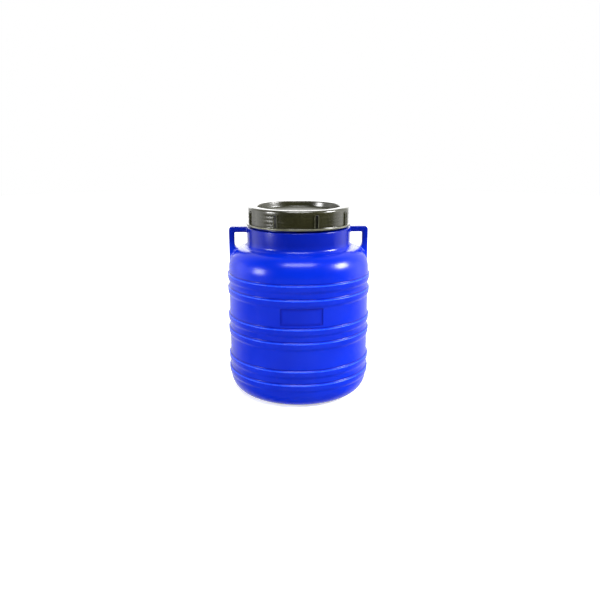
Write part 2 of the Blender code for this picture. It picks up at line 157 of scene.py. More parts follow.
# Cap
CAP_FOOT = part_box("screw_lid")[0][2]
CAP_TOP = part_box("screw_lid")[1][2]
SKIRT_IN = 0.12424
SKIRT = 0.12734
SKIRT_HEAD = 0.0055
SWELLS = 4
SWELL_PROUD = 0.0003
SWELL_ROUND = 0.0020
SWELL_FOOT_ROUND = 0.0012
FLANGE = 0.13364
FLANGE_HEIGHT = 0.0048
FLANGE_ROUND = 0.0014
FLANGE_NECK_ROUND = 0.0008
CAP_PLATE = 0.0034
CAP_LIP_ROUND = 0.0006
CAP_UNDER_ROUND = 0.0020
CAP_RIM_ROUND = 0.0054
RECESS = 0.10504
RECESS_FLOOR = CAP_TOP - 0.0150
RECESS_DRAFT = 0.0015
RECESS_ROUND = 0.0028
BOSS = (0.0430, 0.0454)
BOSS_HEIGHT = 0.0018
BOSS_ROUND = 0.0008
PLUG_WALL = 0.0030
PLUG_FLOOR = 0.0030

# Grip lugs
LUG_WIDTH = 0.0108
LUG_PROUD = 0.0032
LUG_TOP = CAP_TOP - 0.0094
LUG_FOOT = CAP_FOOT + 0.0033
LUG_FIRST = 17.1
LUG_COUNT = 8
LUG_SINK = 0.0015
LUG_BORDER = 0.0019
LUG_DISH = 0.0020
LUG_ROUND = 0.0007

# Inner lid and gasket
SEAT_GAP = 0.0003
INNER_SIDE_GAP = 0.0010
INNER_WALL = 0.0018
INNER_SET_BACK = 0.0004
INNER_FOOT_ROUND = 0.0030
INNER_EDGE_ROUND = 0.0007
GRIP = (0.0285, 0.0315)
GRIP_HEIGHT = 0.0080
GRIP_TOP_ROUND = 0.0012
GRIP_FOOT_ROUND = 0.0010
GASKET_IN = RECESS + 0.0038
GASKET_OUT = NECK + 0.0010
GASKET_RIB = 0.0003
GASKET_RIB_HALF = 0.0012
GASKET_ROUND = 0.0006

# Plastics: linear colours, and where on the forms each tone begins and is full
PLASTIC_IOR = 1.54
CLOUD = (0.35, 0.65)
GRAIN = (0.3, 0.7)
BLUE = ((0.0001, 0.016, 0.45), (0.0002, 0.021, 0.53))
# Painted shade on the collar, neck and ears: it begins at the first height and is full at the
# second
PAINTED_SHADE_BLUE = (0.0001, 0.008, 0.26)
PAINTED_SHADE_FROM = (0.372, 0.400)
# Painted shade along the sunk panel's borders
PANEL_SHADE_BLUE = (0.0001, 0.007, 0.32)
PANEL_SHADE_BAND = (0.0080, 0.0010)
PANEL_LIP = 0.001
PANEL_BAND = (0.0003, 0.0010)
PANEL_SHADE_SHARE = (0.25, 0.95)
# Painted highlight along the ring crests' upper edges, with a little more roughness there
CREST_HIGHLIGHT_BLUE = (0.012, 0.075, 0.92)
CREST_HIGHLIGHT_BAND = (0.0022, 0.0012)
CREST_LINE_ROUGH = 0.05
# Painted shade in thin lines in the creases just above the rings
CREASE_SHADE_BLUE = (0.0001, 0.003, 0.21)
CREASE_SHADE_BAND = (0.0014, 0.0006)
CREASE_SHADE_END = (0.003, 0.004)
CREASE_SHADE_LIFT = 0.0008
CREASE_SHADE_SHARE = 0.7
EDGE_LINE = 0.0018
EDGE_LEAD = 0.005
OLIVE = ((0.014, 0.0140, 0.004), (0.022, 0.0215, 0.007))
# Recess floor painted paler: painted reflected light
OLIVE_FLOOR_PAINTED_LIGHT = (0.055, 0.056, 0.038)
# Painted shade in the lugs' dished faces
OLIVE_DISH_SHADE = (0.005, 0.005, 0.002)
# Painted highlight on the lug borders and the flange's upper edge
OLIVE_EDGE_HIGHLIGHT = (0.120, 0.122, 0.082)
RECESS_MARGIN = 0.003
RECESS_ROUGH = 0.25
# Where the painted highlights on lugs and flange and the painted shade in the dishes lie
LUG_BAND = (0.0015, 0.0007)
LUG_LINE = 0.0007
LUG_HIGHLIGHT_FOOT = 0.0062
FLANGE_BAND = (0.0012, 0.0004)
NATURAL = ((0.72, 0.72, 0.67), (0.80, 0.80, 0.76))
RUBBER = ((0.055, 0.055, 0.055), (0.085, 0.085, 0.083))

# Studio
FILL = 0.06
BACKDROP_EDGE = 0.6
FLOOR_RADIUS = 6
FLOOR_SIDES = 96
FLOOR_RISE = (0.4, 1.4)
FLOOR_LIFT = (0.60, 1.0)
FLOOR_TONE = (0.85, 0.85, 0.85, 1)
WHITE = (1, 1, 1, 1)
PICTURE = 600


def leave_selection():
    """Go back to object mode with nothing selected."""
    if bpy.context.mode != "OBJECT":
        bpy.ops.object.mode_set(mode="OBJECT")
    bpy.ops.object.select_all(action="DESELECT")


def pick(piece):
    """Make a piece the only selected one and the active one."""
    leave_selection()
    piece.select_set(True)
    bpy.context.view_layer.objects.active = piece


def work_on(piece):
    """Pick a piece and open it in edit mode."""
    pick(piece)
    bpy.ops.object.mode_set(mode="EDIT")
    bpy.ops.mesh.select_mode(type="VERT")


def face_outwards():
    """Turn all faces of the opened piece to its outside."""
    bpy.ops.mesh.select_all(action="SELECT")
    bpy.ops.mesh.normals_make_consistent(inside=False)


def choose(piece, kind, wanted):
    """Select the vertices, edges or faces of a piece whose middle is where it is wanted."""
    bpy.ops.mesh.select_mode(type={"verts": "VERT", "edges": "EDGE", "faces": "FACE"}[kind])
    bpy.ops.mesh.select_all(action="DESELECT")
    form = bmesh.from_edit_mesh(piece.data)
    for part in getattr(form, kind):
        if kind == "verts":
            part.select = bool(wanted(part.co))
        elif kind == "edges":
            part.select = bool(wanted((part.verts[0].co + part.verts[1].co) / 2))
        else:
            part.select = bool(wanted(part.calc_center_median()))
    form.select_flush_mode()
    bmesh.update_edit_mesh(piece.data)


def draw_line(name, points, closed=False):
    """Pull one vertex along a line of points."""
    leave_selection()
    bpy.ops.mesh.primitive_plane_add(size=SEED, location=points[0])
    line = bpy.context.active_object
    line.name = name
    bpy.ops.object.mode_set(mode="EDIT")
    bpy.ops.mesh.select_mode(type="VERT")
    bpy.ops.mesh.select_all(action="SELECT")
    bpy.ops.mesh.merge(type="CENTER")
    for here, there in zip(points, points[1:]):
        way = Vector(there) - Vector(here)
        bpy.ops.mesh.extrude_region_move(TRANSFORM_OT_translate={"value": way})
    if closed:
        bpy.ops.mesh.select_all(action="SELECT")
        bpy.ops.mesh.edge_face_add()
    bpy.ops.object.mode_set(mode="OBJECT")
    bpy.ops.object.transform_apply(location=True, rotation=True, scale=True)
    return line


def thicken(piece, way):
    """Pull a flat outline along a way into a closed block, and leave it open for work."""
    work_on(piece)
    bpy.ops.mesh.select_all(action="SELECT")
    bpy.ops.mesh.extrude_region_move(TRANSFORM_OT_translate={"value": way})
    face_outwards()


def soften(piece, places, offset, steps=SOFT_STEPS):
    """Round the corners of a drawn line that lie at the given (radius, height) places."""
    work_on(piece)
    spots = profile(places)
    choose(piece, "verts", lambda co: any((co - Vector(spot)).length < SAME_SPOT for spot in spots))
    bpy.ops.mesh.bevel(offset=offset, segments=steps, affect="VERTICES", clamp_overlap=True)
    bpy.ops.object.mode_set(mode="OBJECT")


def turn(piece, close=True):
    """Spin a drawn line about the drum's axis and close what is open at its ends."""
    work_on(piece)
    bpy.ops.mesh.select_all(action="SELECT")
    bpy.ops.mesh.spin(steps=STEPS, angle=math.tau, center=(0, 0, 0), axis=(0, 0, 1))
    bpy.ops.mesh.select_all(action="SELECT")
    bpy.ops.mesh.remove_doubles(threshold=SAME_SPOT)
    if close:
        bpy.ops.mesh.fill_holes(sides=0)
    face_outwards()
    bpy.ops.object.mode_set(mode="OBJECT")


def bow(centre, sizes, start, end, steps):
    """Points along an arc of an ellipse, with its angles in degrees."""
    points = []
    for step in range(steps + 1):
        angle = math.radians(start + (end - start) * step / steps)
        points.append((centre[0] + sizes[0] * math.cos(angle),
                       centre[1] + sizes[1] * math.sin(angle)))
    return points


def profile(points):
    """Stand (radius, height) points up in the drum's XZ plane."""
    return [(radius, 0, height) for radius, height in points]


def merge_form(piece, tool, operation):
    """Join a form to a piece, or cut it out of it, and take the form away."""
    change = piece.modifiers.new(tool.name, "BOOLEAN")
    change.operation = operation
    change.solver = "EXACT"
    change.object = tool
    pick(piece)
    bpy.ops.object.modifier_apply(modifier=change.name)
    bpy.data.objects.remove(tool, do_unlink=True)


def finish_surface(piece, finish):
    """Smooth the shading over soft edges and give the piece its material."""
    pick(piece)
    bpy.ops.object.shade_smooth_by_angle(angle=SMOOTH)
    piece.data.materials.clear()
    piece.data.materials.append(finish)


def dome_points(inset, steps):
    """The domed shoulder and the hollow that leads up to the collar."""
    end = math.degrees(math.atan2(DOME[1], DOME[0] * math.tan(CROWN_SLOPE)))
    sizes = (DOME[0] - inset, DOME[1] - inset)
    dome = bow((DOME_CENTRE, DOME_FOOT), sizes, 0, end, steps)
    crown = DOME_FOOT + DOME[1] * math.sin(math.radians(end))
    centre = (COLLAR + FILLET, crown + FILLET * math.cos(CROWN_SLOPE))
    sizes = (FILLET + inset, FILLET + inset)
    hollow = bow(centre, sizes, -90 - CROWN_SLOPE_DEG, -180, steps // 2)
    return dome + hollow[1:]


def dome_height(radius):
    """Height of the shoulder's outside at a radius."""
    share = (radius - DOME_CENTRE) / DOME[0]
    return DOME_FOOT + DOME[1] * math.sqrt(max(0, 1 - share * share))


def shell_outside():
    """The turned outside of the shell, from the raised middle of its base to the rim."""
    lowest = RING_TOPS[0] - RING_HEIGHT
    lift = math.degrees(math.asin((lowest - CORNER[1]) / CORNER[1]))
    points = [PUSH_UP, (STAND_IN, 0)]
    points += bow((BODY - CORNER[0], CORNER[1]), CORNER, -90, lift, CORNER_STEPS)[:-1]
    rings = []
    for top in RING_TOPS:
        foot = top - RING_HEIGHT
        rings.append([(BODY, foot), (RING - RING_TAPER, foot + LOWER_FLANK),
                      (RING, top - UPPER_FLANK), (BODY, top)])
        points += rings[-1]
    points += dome_points(0, DOME_STEPS)
    points += [(COLLAR, COLLAR_TOP), (NECK, COLLAR_TOP), (NECK, RIM)]
    line = draw_line("drum_shell_body", profile(points))
    soften(line, [PUSH_UP], PUSH_UP_ROUND, ROUND_STEPS)
    soften(line, [(STAND_IN, 0)], STAND_ROUND, ROUND_STEPS)
    soften(line, [(COLLAR, COLLAR_TOP)], COLLAR_ROUND, BROAD_STEPS)
    soften(line, [(NECK, COLLAR_TOP)], NECK_FOOT_ROUND)
    feet, lower_edges, upper_edges, tops = zip(*rings)
    soften(line, upper_edges, RING_CREST_ROUND)
    soften(line, lower_edges, RING_LOWER_ROUND)
    soften(line, tops, RING_TOP_ROUND)
    soften(line, feet, RING_LOWER_ROUND)
    turn(line)
    return line


def shell_inside():
    """The hollow of the shell, one wall inside its outside."""
    lowest = RING_TOPS[0] - RING_HEIGHT + WALL
    size = (CORNER[0] - WALL, CORNER[1] - WALL)
    lift = math.degrees(math.asin((lowest - CORNER[1]) / size[1]))
    floor = [(PUSH_UP[0] + WALL / 2, PUSH_UP[1] + WALL), (STAND_IN + WALL / 2, WALL)]
    corner = bow((BODY - CORNER[0], CORNER[1]), size, -90, lift, HOLLOW_CORNER_STEPS)[:-1]
    bends = []
    for top in RING_TOPS:
        foot = top - RING_HEIGHT + WALL
        high = top - WALL
        bends += [(BODY - WALL, foot), (RING - WALL, foot + WALL),
                  (RING - WALL, high - WALL), (BODY - WALL, high)]
    collar = (COLLAR - WALL, COLLAR_TOP - WALL)
    points = floor + corner + bends + dome_points(WALL, HOLLOW_DOME_STEPS)
    points += [collar, (BORE, COLLAR_TOP - WALL), (BORE, RIM + WALL)]
    line = draw_line("shell_hollow", profile(points))
    soften(line, floor, HOLLOW_FLOOR_ROUND)
    soften(line, bends, HOLLOW_RING_ROUND, FEW_STEPS)
    soften(line, [collar], HOLLOW_COLLAR_ROUND)
    turn(line)
    return line


def widen(piece, spot, direction, levels):
    """Flare a bar where it meets a wall: cut it at each level, then spread what is past it."""
    way = Vector(direction).normalized()
    for level, spread_by in levels:
        place = Vector(spot) + way * level
        work_on(piece)
        bpy.ops.mesh.select_all(action="SELECT")
        bpy.ops.mesh.bisect(plane_co=place, plane_no=way)
        choose(piece, "verts", lambda co: (co - place).dot(way) < -SAME_PLANE)
        bpy.ops.transform.resize(value=(1, spread_by, 1), center_override=spot)
    bpy.ops.object.mode_set(mode="OBJECT")


def ear(name, side):
    """One moulded ear: an outline swept to its depth, its rims rounded and its feet flared."""
    under = EAR_TOP - BAR
    inside = REACH - LEG
    foot = inside - FOOT_ROUND
    seat = dome_height(foot) + FOOT_ROUND - EAR_SINK
    deep = dome_height(REACH) - FOOT_DEPTH
    back = foot - FOOT_BACK
    buried = COLLAR - WALL - EAR_SINK
    low = under - EAR_COLLAR_ROUND
    line = [(buried, EAR_TOP)]
    line += bow((REACH - EAR_OUTER_ROUND, EAR_TOP - EAR_OUTER_ROUND),
                (EAR_OUTER_ROUND, EAR_OUTER_ROUND), 90, 0, EAR_STEPS)
    line += [(REACH, deep), (back, deep), (back, dome_height(back) - FOOT_SINK)]
    line += bow((foot, seat), (FOOT_ROUND, FOOT_ROUND), -90, 0, EAR_STEPS)
    line += bow((inside - EAR_INNER_ROUND, under - EAR_INNER_ROUND),
                (EAR_INNER_ROUND, EAR_INNER_ROUND), 0, 90, ROUND_STEPS)
    line += bow((COLLAR + EAR_COLLAR_SET, low),
                (EAR_COLLAR_ROUND, EAR_COLLAR_ROUND), 90, 180, ROUND_STEPS)
    line += [(buried, low)]
    piece = draw_line(name, [(side * x, -EAR_DEPTH / 2, z) for x, z in line], closed=True)
    thicken(piece, (0, EAR_DEPTH, 0))
    choose(piece, "edges", lambda co: abs(abs(co.y) - EAR_DEPTH / 2) < SAME_PLANE)
    bpy.ops.mesh.bevel(offset=EAR_EDGE, segments=ROUND_STEPS, affect="EDGES", clamp_overlap=False)
    bpy.ops.object.mode_set(mode="OBJECT")
    widen(piece, (side * FOOT_SPOT, 0, dome_height(FOOT_SPOT)),
          (side * FOOT_WAY[0], 0, FOOT_WAY[1]), FOOT_FLARE)
    widen(piece, (side * COLLAR, 0, EAR_TOP), (side, 0, 0), COLLAR_FLARE)
    return piece


def thread_radii(wall, side):
    """Radii of a thread's buried root and its crest; side is 1 outside a wall, -1 inside."""
    return wall - side * THREAD_SINK, wall + side * THREAD_DEPTH


def thread(name, wall, side, top):
    """A right-hand helical ridge: one section screwed up the wall and run out at its ends."""
    sunk, crest = thread_radii(wall, side)
    section = [(sunk, -THREAD_FOOT), (crest, -THREAD_CREST),
               (crest, THREAD_CREST), (sunk, THREAD_FOOT)]
    climbed = THREAD_PITCH * THREAD_TURNS
    low = top - climbed
    piece = draw_line(name, [(radius, 0, low + rise) for radius, rise in section])
    edges = [(crest, low - THREAD_CREST), (crest, low + THREAD_CREST)]
    soften(piece, edges, THREAD_ROUND, FEW_STEPS)
    work_on(piece)
    choose(piece, "verts", lambda co: abs(co.x - sunk) < SAME_PLANE)
    bpy.ops.mesh.edge_face_add()
    bpy.ops.object.mode_set(mode="OBJECT")
    climb = piece.modifiers.new("climb", "SCREW")
    climb.axis = "Z"
    climb.angle = math.tau * THREAD_TURNS
    climb.screw_offset = climbed
    climb.steps = climb.render_steps = THREAD_STEPS
    climb.use_merge_vertices = False
    bpy.ops.object.modifier_apply(modifier=climb.name)
    work_on(piece)
    bpy.ops.mesh.select_all(action="SELECT")
    bpy.ops.mesh.fill_holes(sides=0)
    face_outwards()
    run_out(piece, wall, side, low)
    bpy.ops.mesh.select_all(action="SELECT")
    bpy.ops.transform.rotate(value=-math.radians(THREAD_START), orient_axis="Z",
                             center_override=(0, 0, 0))
    bpy.ops.object.mode_set(mode="OBJECT")
    return piece


def run_out(piece, wall, side, low):
    """Sink both ends of a thread step by step into its wall."""
    sunk, crest = thread_radii(wall, side)
    turned = 360 * THREAD_TURNS
    step = turned / THREAD_STEPS
    for index in range(int(RUN_OUT / step) + 1):
        share = index * step / RUN_OUT
        height = share * THREAD_DEPTH - (1 - share) * RUN_OUT_SINK
        scale = (wall + side * height) / crest
        for along in (index * step, turned - index * step):
            middle = low + THREAD_PITCH * along / 360
            angle = math.radians(along)
            spoke = Vector((math.cos(angle), math.sin(angle), 0))
            choose(piece, "verts", lambda co: abs(co.cross(spoke).z) < SAME_SPOT
                   and co.dot(spoke) > 0 and abs(co.z - middle) < THREAD_FOOT
                   and abs(co.xy.length - sunk) > RUN_OUT_REACH)
            bpy.ops.transform.resize(value=(scale, scale, 1), center_override=(0, 0, 0))


def panel_form():
    """The block that sinks the bare front panel: a bowed strip pulled up to its height."""
    half = math.degrees(PANEL_WIDTH / 2 / BODY)
    floor = BODY - PANEL_DEPTH
    far = RING + PANEL_OVERRUN
    arc = bow((0, 0), (floor, floor), -90 - half, -90 + half, PANEL_STEPS)
    back = bow((0, 0), (far, far), -90 + half, -90 - half, PANEL_STEPS)
    piece = draw_line("panel_form", [(x, y, PANEL_FOOT) for x, y in arc + back], closed=True)
    thicken(piece, (0, 0, PANEL_TOP - PANEL_FOOT))
    bpy.ops.object.mode_set(mode="OBJECT")
    return piece


def make_shell(finish):
    """The blown drum: its turned outside joined to ears and thread, then sunk and hollowed."""
    shell = shell_outside()
    for name, side in (("left_ear", -1), ("right_ear", 1)):
        merge_form(shell, ear(name, side), "UNION")
    merge_form(shell, thread("neck_thread", NECK, 1, THREAD_TOP), "UNION")
    merge_form(shell, panel_form(), "DIFFERENCE")
    merge_form(shell, shell_inside(), "DIFFERENCE")
    finish_surface(shell, finish)
    return shell


def cap_body():
    """The turned cap: recessed top, rim, banded skirt, flange and the plug under it."""
    under = CAP_TOP - CAP_PLATE
    plug = RECESS + PLUG_WALL
    flange_top = (FLANGE, CAP_FOOT + FLANGE_HEIGHT)
    boss = [(BOSS[0], RECESS_FLOOR + BOSS_HEIGHT), (BOSS[1], RECESS_FLOOR)]
    recess_foot = (RECESS - RECESS_DRAFT, RECESS_FLOOR)
    recess_edge = (RECESS, CAP_TOP)
    rim = (SKIRT, CAP_TOP)
    inside = [(SKIRT_IN, under), (plug, under), (plug - RECESS_DRAFT, RECESS_FLOOR - PLUG_FLOOR)]
    points = boss + [recess_foot, recess_edge, rim]
    crests = []
    valleys = []
    band = (CAP_TOP - SKIRT_HEAD - CAP_FOOT - FLANGE_HEIGHT) / SWELLS
    for index in reversed(range(SWELLS)):
        foot = CAP_FOOT + FLANGE_HEIGHT + index * band
        crests.append((SKIRT + SWELL_PROUD, foot + band / 2))
        valleys.append((SKIRT, foot))
        points += [crests[-1], valleys[-1]]
    points += [flange_top, (FLANGE, CAP_FOOT), (SKIRT_IN, CAP_FOOT)] + inside
    line = draw_line("screw_lid_body", profile(points))
    soften(line, boss, BOSS_ROUND)
    soften(line, [recess_foot], RECESS_ROUND, BROAD_STEPS)
    soften(line, [recess_edge], RECESS_ROUND, BROAD_STEPS)
    soften(line, [rim], CAP_RIM_ROUND, RIM_STEPS)
    soften(line, crests, SWELL_ROUND)
    soften(line, valleys[:-1], SWELL_FOOT_ROUND)
    soften(line, valleys[-1:], FLANGE_NECK_ROUND)
    soften(line, [flange_top, (FLANGE, CAP_FOOT)], FLANGE_ROUND)
    soften(line, [(SKIRT_IN, CAP_FOOT)], CAP_LIP_ROUND)
    soften(line, inside, CAP_UNDER_ROUND)
    turn(line)
    return line


def lug():
    """One round-topped grip lug with a raised border round a dished face."""
    half = LUG_WIDTH / 2
    line = [(-half, LUG_FOOT), (half, LUG_FOOT)]
    line += bow((0, LUG_TOP - half), (half, half), 0, 180, LUG_STEPS)
    back = LUG_SINK - SKIRT
    front = -SKIRT - LUG_PROUD
    piece = draw_line("lug", [(across, back, height) for across, height in line], closed=True)
    thicken(piece, (0, -LUG_SINK - LUG_PROUD, 0))
    choose(piece, "faces", lambda co: abs(co.y - front) < SAME_PLANE)
    bpy.ops.mesh.inset(thickness=LUG_BORDER, depth=0)
    bpy.ops.transform.translate(value=(0, LUG_DISH, 0))
    choose(piece, "edges", lambda co: co.y < front + SAME_SPOT)
    bpy.ops.mesh.bevel(offset=LUG_ROUND, segments=SOFT_STEPS, affect="EDGES", clamp_overlap=True)
    bpy.ops.object.mode_set(mode="OBJECT")
    return piece


def lug_ring():
    """All grip lugs as one form, equally spaced round the skirt."""
    first = lug()
    lugs = []
    for index in range(LUG_COUNT):
        copy = first.copy()
        copy.data = first.data.copy()
        bpy.context.scene.collection.objects.link(copy)
        copy.rotation_euler.z = math.radians(LUG_FIRST + index * 360 / LUG_COUNT)
        lugs.append(copy)
    bpy.data.objects.remove(first, do_unlink=True)
    leave_selection()
    for copy in lugs:
        copy.select_set(True)
    bpy.context.view_layer.objects.active = lugs[0]
    bpy.ops.object.transform_apply(location=True, rotation=True, scale=True)
    bpy.ops.object.join()
    return lugs[0]


def make_cap(finish):
    """The screw cap: its turned body joined to its lugs and its thread."""
    cap = cap_body()
    merge_form(cap, lug_ring(), "UNION")
    slope = (THREAD_FOOT - THREAD_CREST) / THREAD_DEPTH
    flanks = THREAD_FOOT + THREAD_CREST - slope * THREAD_RADIAL_GAP
    top = THREAD_TOP - flanks - THREAD_FLANK_GAP
    merge_form(cap, thread("cap_thread", SKIRT_IN, -1, top), "UNION")
    finish_surface(cap, finish)
    return cap


def make_inner_lid(finish):
    """The loose dished cover with its lifting ring, on the neck rim."""
    low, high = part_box("inner_lid")
    wall = BORE - INNER_SIDE_GAP
    inner = wall - INNER_WALL
    flange = NECK - INNER_SET_BACK
    seat = RIM + SEAT_GAP
    floor = low[2] + INNER_WALL
    grip_top = floor + GRIP_HEIGHT
    tops = [(GRIP[0], grip_top), (GRIP[1], grip_top)]
    feet = [(GRIP[0], floor), (GRIP[1], floor)]
    edges = [(inner, high[2]), (flange, high[2]), (flange, seat)]
    points = [feet[0], *tops, feet[1], (inner, floor), *edges, (wall, seat), (wall, low[2])]
    line = draw_line("inner_lid_body", profile(points))
    soften(line, tops, GRIP_TOP_ROUND)
    soften(line, feet, GRIP_FOOT_ROUND)
    soften(line, [(inner, floor), (wall, low[2])], INNER_FOOT_ROUND, ROUND_STEPS)
    soften(line, edges, INNER_EDGE_ROUND)
    turn(line)
    finish_surface(line, finish)
    return line


def make_gasket(finish):
    """The flat rubber ring between the inner lid and the cap, ribbed once on each face."""
    low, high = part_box("lid_gasket")
    middle = (GASKET_IN + GASKET_OUT) / 2
    ribs = (middle - GASKET_RIB_HALF, middle + GASKET_RIB_HALF)
    foot = low[2] + GASKET_RIB
    top = high[2] - GASKET_RIB
    edges = [(GASKET_OUT, foot), (GASKET_OUT, top)]
    points = [(GASKET_IN, foot), (ribs[0], foot), (middle, low[2]), (ribs[1], foot)]
    points += edges
    points += [(ribs[1], top), (middle, high[2]), (ribs[0], top), (GASKET_IN, top)]
    line = draw_line("lid_gasket_ring", profile(points), closed=True)
    work_on(line)
    choose(line, "faces", lambda co: True)
    bpy.ops.mesh.delete(type="ONLY_FACE")
    bpy.ops.object.mode_set(mode="OBJECT")
    soften(line, edges, GASKET_ROUND)
    turn(line, close=False)
    finish_surface(line, finish)
    return line


def new_finish(name):
    """An empty node material with its shader, and the object's own coordinates."""
    finish = bpy.data.materials.new(name)
    finish.use_nodes = True
    tree = finish.node_tree
    shader = tree.nodes["Principled BSDF"]
    place = tree.nodes.new("ShaderNodeTexCoord")
    return finish, tree, shader, place.outputs["Object"]


def set_sockets(node, values):
    """Put constants on a node's sockets."""
    for socket, value in values.items():
        node.inputs[socket].default_value = value


def stretched(tree, place, scale):
    """A place scaled along its axes, so that a grain on it is drawn out."""
    mapping = tree.nodes.new("ShaderNodeMapping")
    mapping.inputs["Scale"].default_value = scale
    tree.links.new(place, mapping.inputs["Vector"])
    return mapping.outputs["Vector"]


def grain(tree, place, scale, detail=3, roughness=0.5):
    """Cloudy noise from 0 to 1."""
    noise = tree.nodes.new("ShaderNodeTexNoise")
    set_sockets(noise, {"Scale": scale, "Detail": detail, "Roughness": roughness})
    tree.links.new(place, noise.inputs["Vector"])
    return noise.outputs["Fac"]


def spread(tree, value, from_low, from_high, to_low=0, to_high=1):
    """A value taken from one range to another, held at its ends."""
    reach = tree.nodes.new("ShaderNodeMapRange")
    set_sockets(reach, {"From Min": from_low, "From Max": from_high,
                        "To Min": to_low, "To Max": to_high})
    tree.links.new(value, reach.inputs["Value"])
    return reach.outputs["Result"]


def reckon(tree, operation, first, second=0):
    """One sum on two values, each a number or a socket."""
    step = tree.nodes.new("ShaderNodeMath")
    step.operation = operation
    for socket, value in zip(step.inputs, (first, second)):
        if isinstance(value, (int, float)):
            socket.default_value = value
        else:
            tree.links.new(value, socket)
    return step.outputs["Value"]


def times(tree, first, *others):
    """The product of values, each a number or a socket."""
    for other in others:
        first = reckon(tree, "MULTIPLY", first, other)
    return first


def blend(tree, share, first, second):
    """A mix of two colours, each a constant or a socket."""
    mix = tree.nodes.new("ShaderNodeMix")
    mix.data_type = "RGBA"
    tree.links.new(share, mix.inputs["Factor"])
    for socket, colour in ((mix.inputs["A"], first), (mix.inputs["B"], second)):
        if isinstance(colour, tuple):
            socket.default_value = (*colour, 1)
        else:
            tree.links.new(colour, socket)
    return mix.outputs["Result"]


def inwards(tree, value, edge, band, *levels):
    """0 to 1, or one level to another, from the band's first step inside an edge to its last."""
    return spread(tree, value, edge - band[0], edge - band[1], *levels)


def outwards(tree, value, edge, band, *levels):
    """The same from the band's first step outside an edge to its last."""
    return spread(tree, value, edge + band[0], edge + band[1], *levels)


def measured(tree, place):
    """Distance from the drum's axis, height and sideways place."""
    parts = tree.nodes.new("ShaderNodeSeparateXYZ")
    tree.links.new(place, parts.inputs["Vector"])
    side, deep, height = (parts.outputs[axis] for axis in "XYZ")
    square = reckon(tree, "ADD", times(tree, side, side), times(tree, deep, deep))
    return reckon(tree, "SQRT", square), height, side


def away_from(tree, value, middle=0):
    """How far a value is from a middle, either way."""
    if middle:
        value = reckon(tree, "SUBTRACT", value, middle)
    return reckon(tree, "ABSOLUTE", value)


def relief(tree, shader, height, depth, strength):
    """A fine bump of the surface."""
    bump = tree.nodes.new("ShaderNodeBump")
    set_sockets(bump, {"Distance": depth, "Strength": strength})
    tree.links.new(height, bump.inputs["Height"])
    tree.links.new(bump.outputs["Normal"], shader.inputs["Normal"])


def near(tree, value, middle, reach):
    """1 where a value is at a middle, falling to 0 a reach away."""
    return spread(tree, away_from(tree, value, middle), reach * 0.5, reach, 1, 0)


def ring_edges(tree, height, lift):
    """Thin lines a lift above the upper edges of the three pairs of rings."""
    group = RING_TOPS[2] - RING_TOPS[0]
    above = reckon(tree, "SUBTRACT", height, RING_TOPS[0] + lift - EDGE_LEAD)
    along = reckon(tree, "MODULO", above, group)
    upper = RING_TOPS[1] - RING_TOPS[0] + EDGE_LEAD
    return reckon(tree, "MAXIMUM", near(tree, along, EDGE_LEAD, EDGE_LINE),
                  near(tree, along, upper, EDGE_LINE))


def panel_painted_shade(tree, radius, height, side):
    """Painted shade: 1 on the sunk panel's borders, falling towards its middle, and 0 off the
    panel.
    """
    belt = times(tree, reckon(tree, "GREATER_THAN", height, PANEL_FOOT - PANEL_LIP),
                 reckon(tree, "LESS_THAN", height, PANEL_TOP + PANEL_LIP))
    sunk = times(tree, belt, inwards(tree, radius, BODY, PANEL_BAND))
    half = BODY * math.sin(PANEL_WIDTH / 2 / BODY)
    tall = (PANEL_TOP - PANEL_FOOT) / 2
    ends, upright = (
        inwards(tree, away, reach, PANEL_SHADE_BAND, *PANEL_SHADE_SHARE)
        for away, reach in ((away_from(tree, side), half),
                            (away_from(tree, height, (PANEL_FOOT + PANEL_TOP) / 2), tall)))
    return times(tree, sunk, reckon(tree, "MAXIMUM", ends, upright))


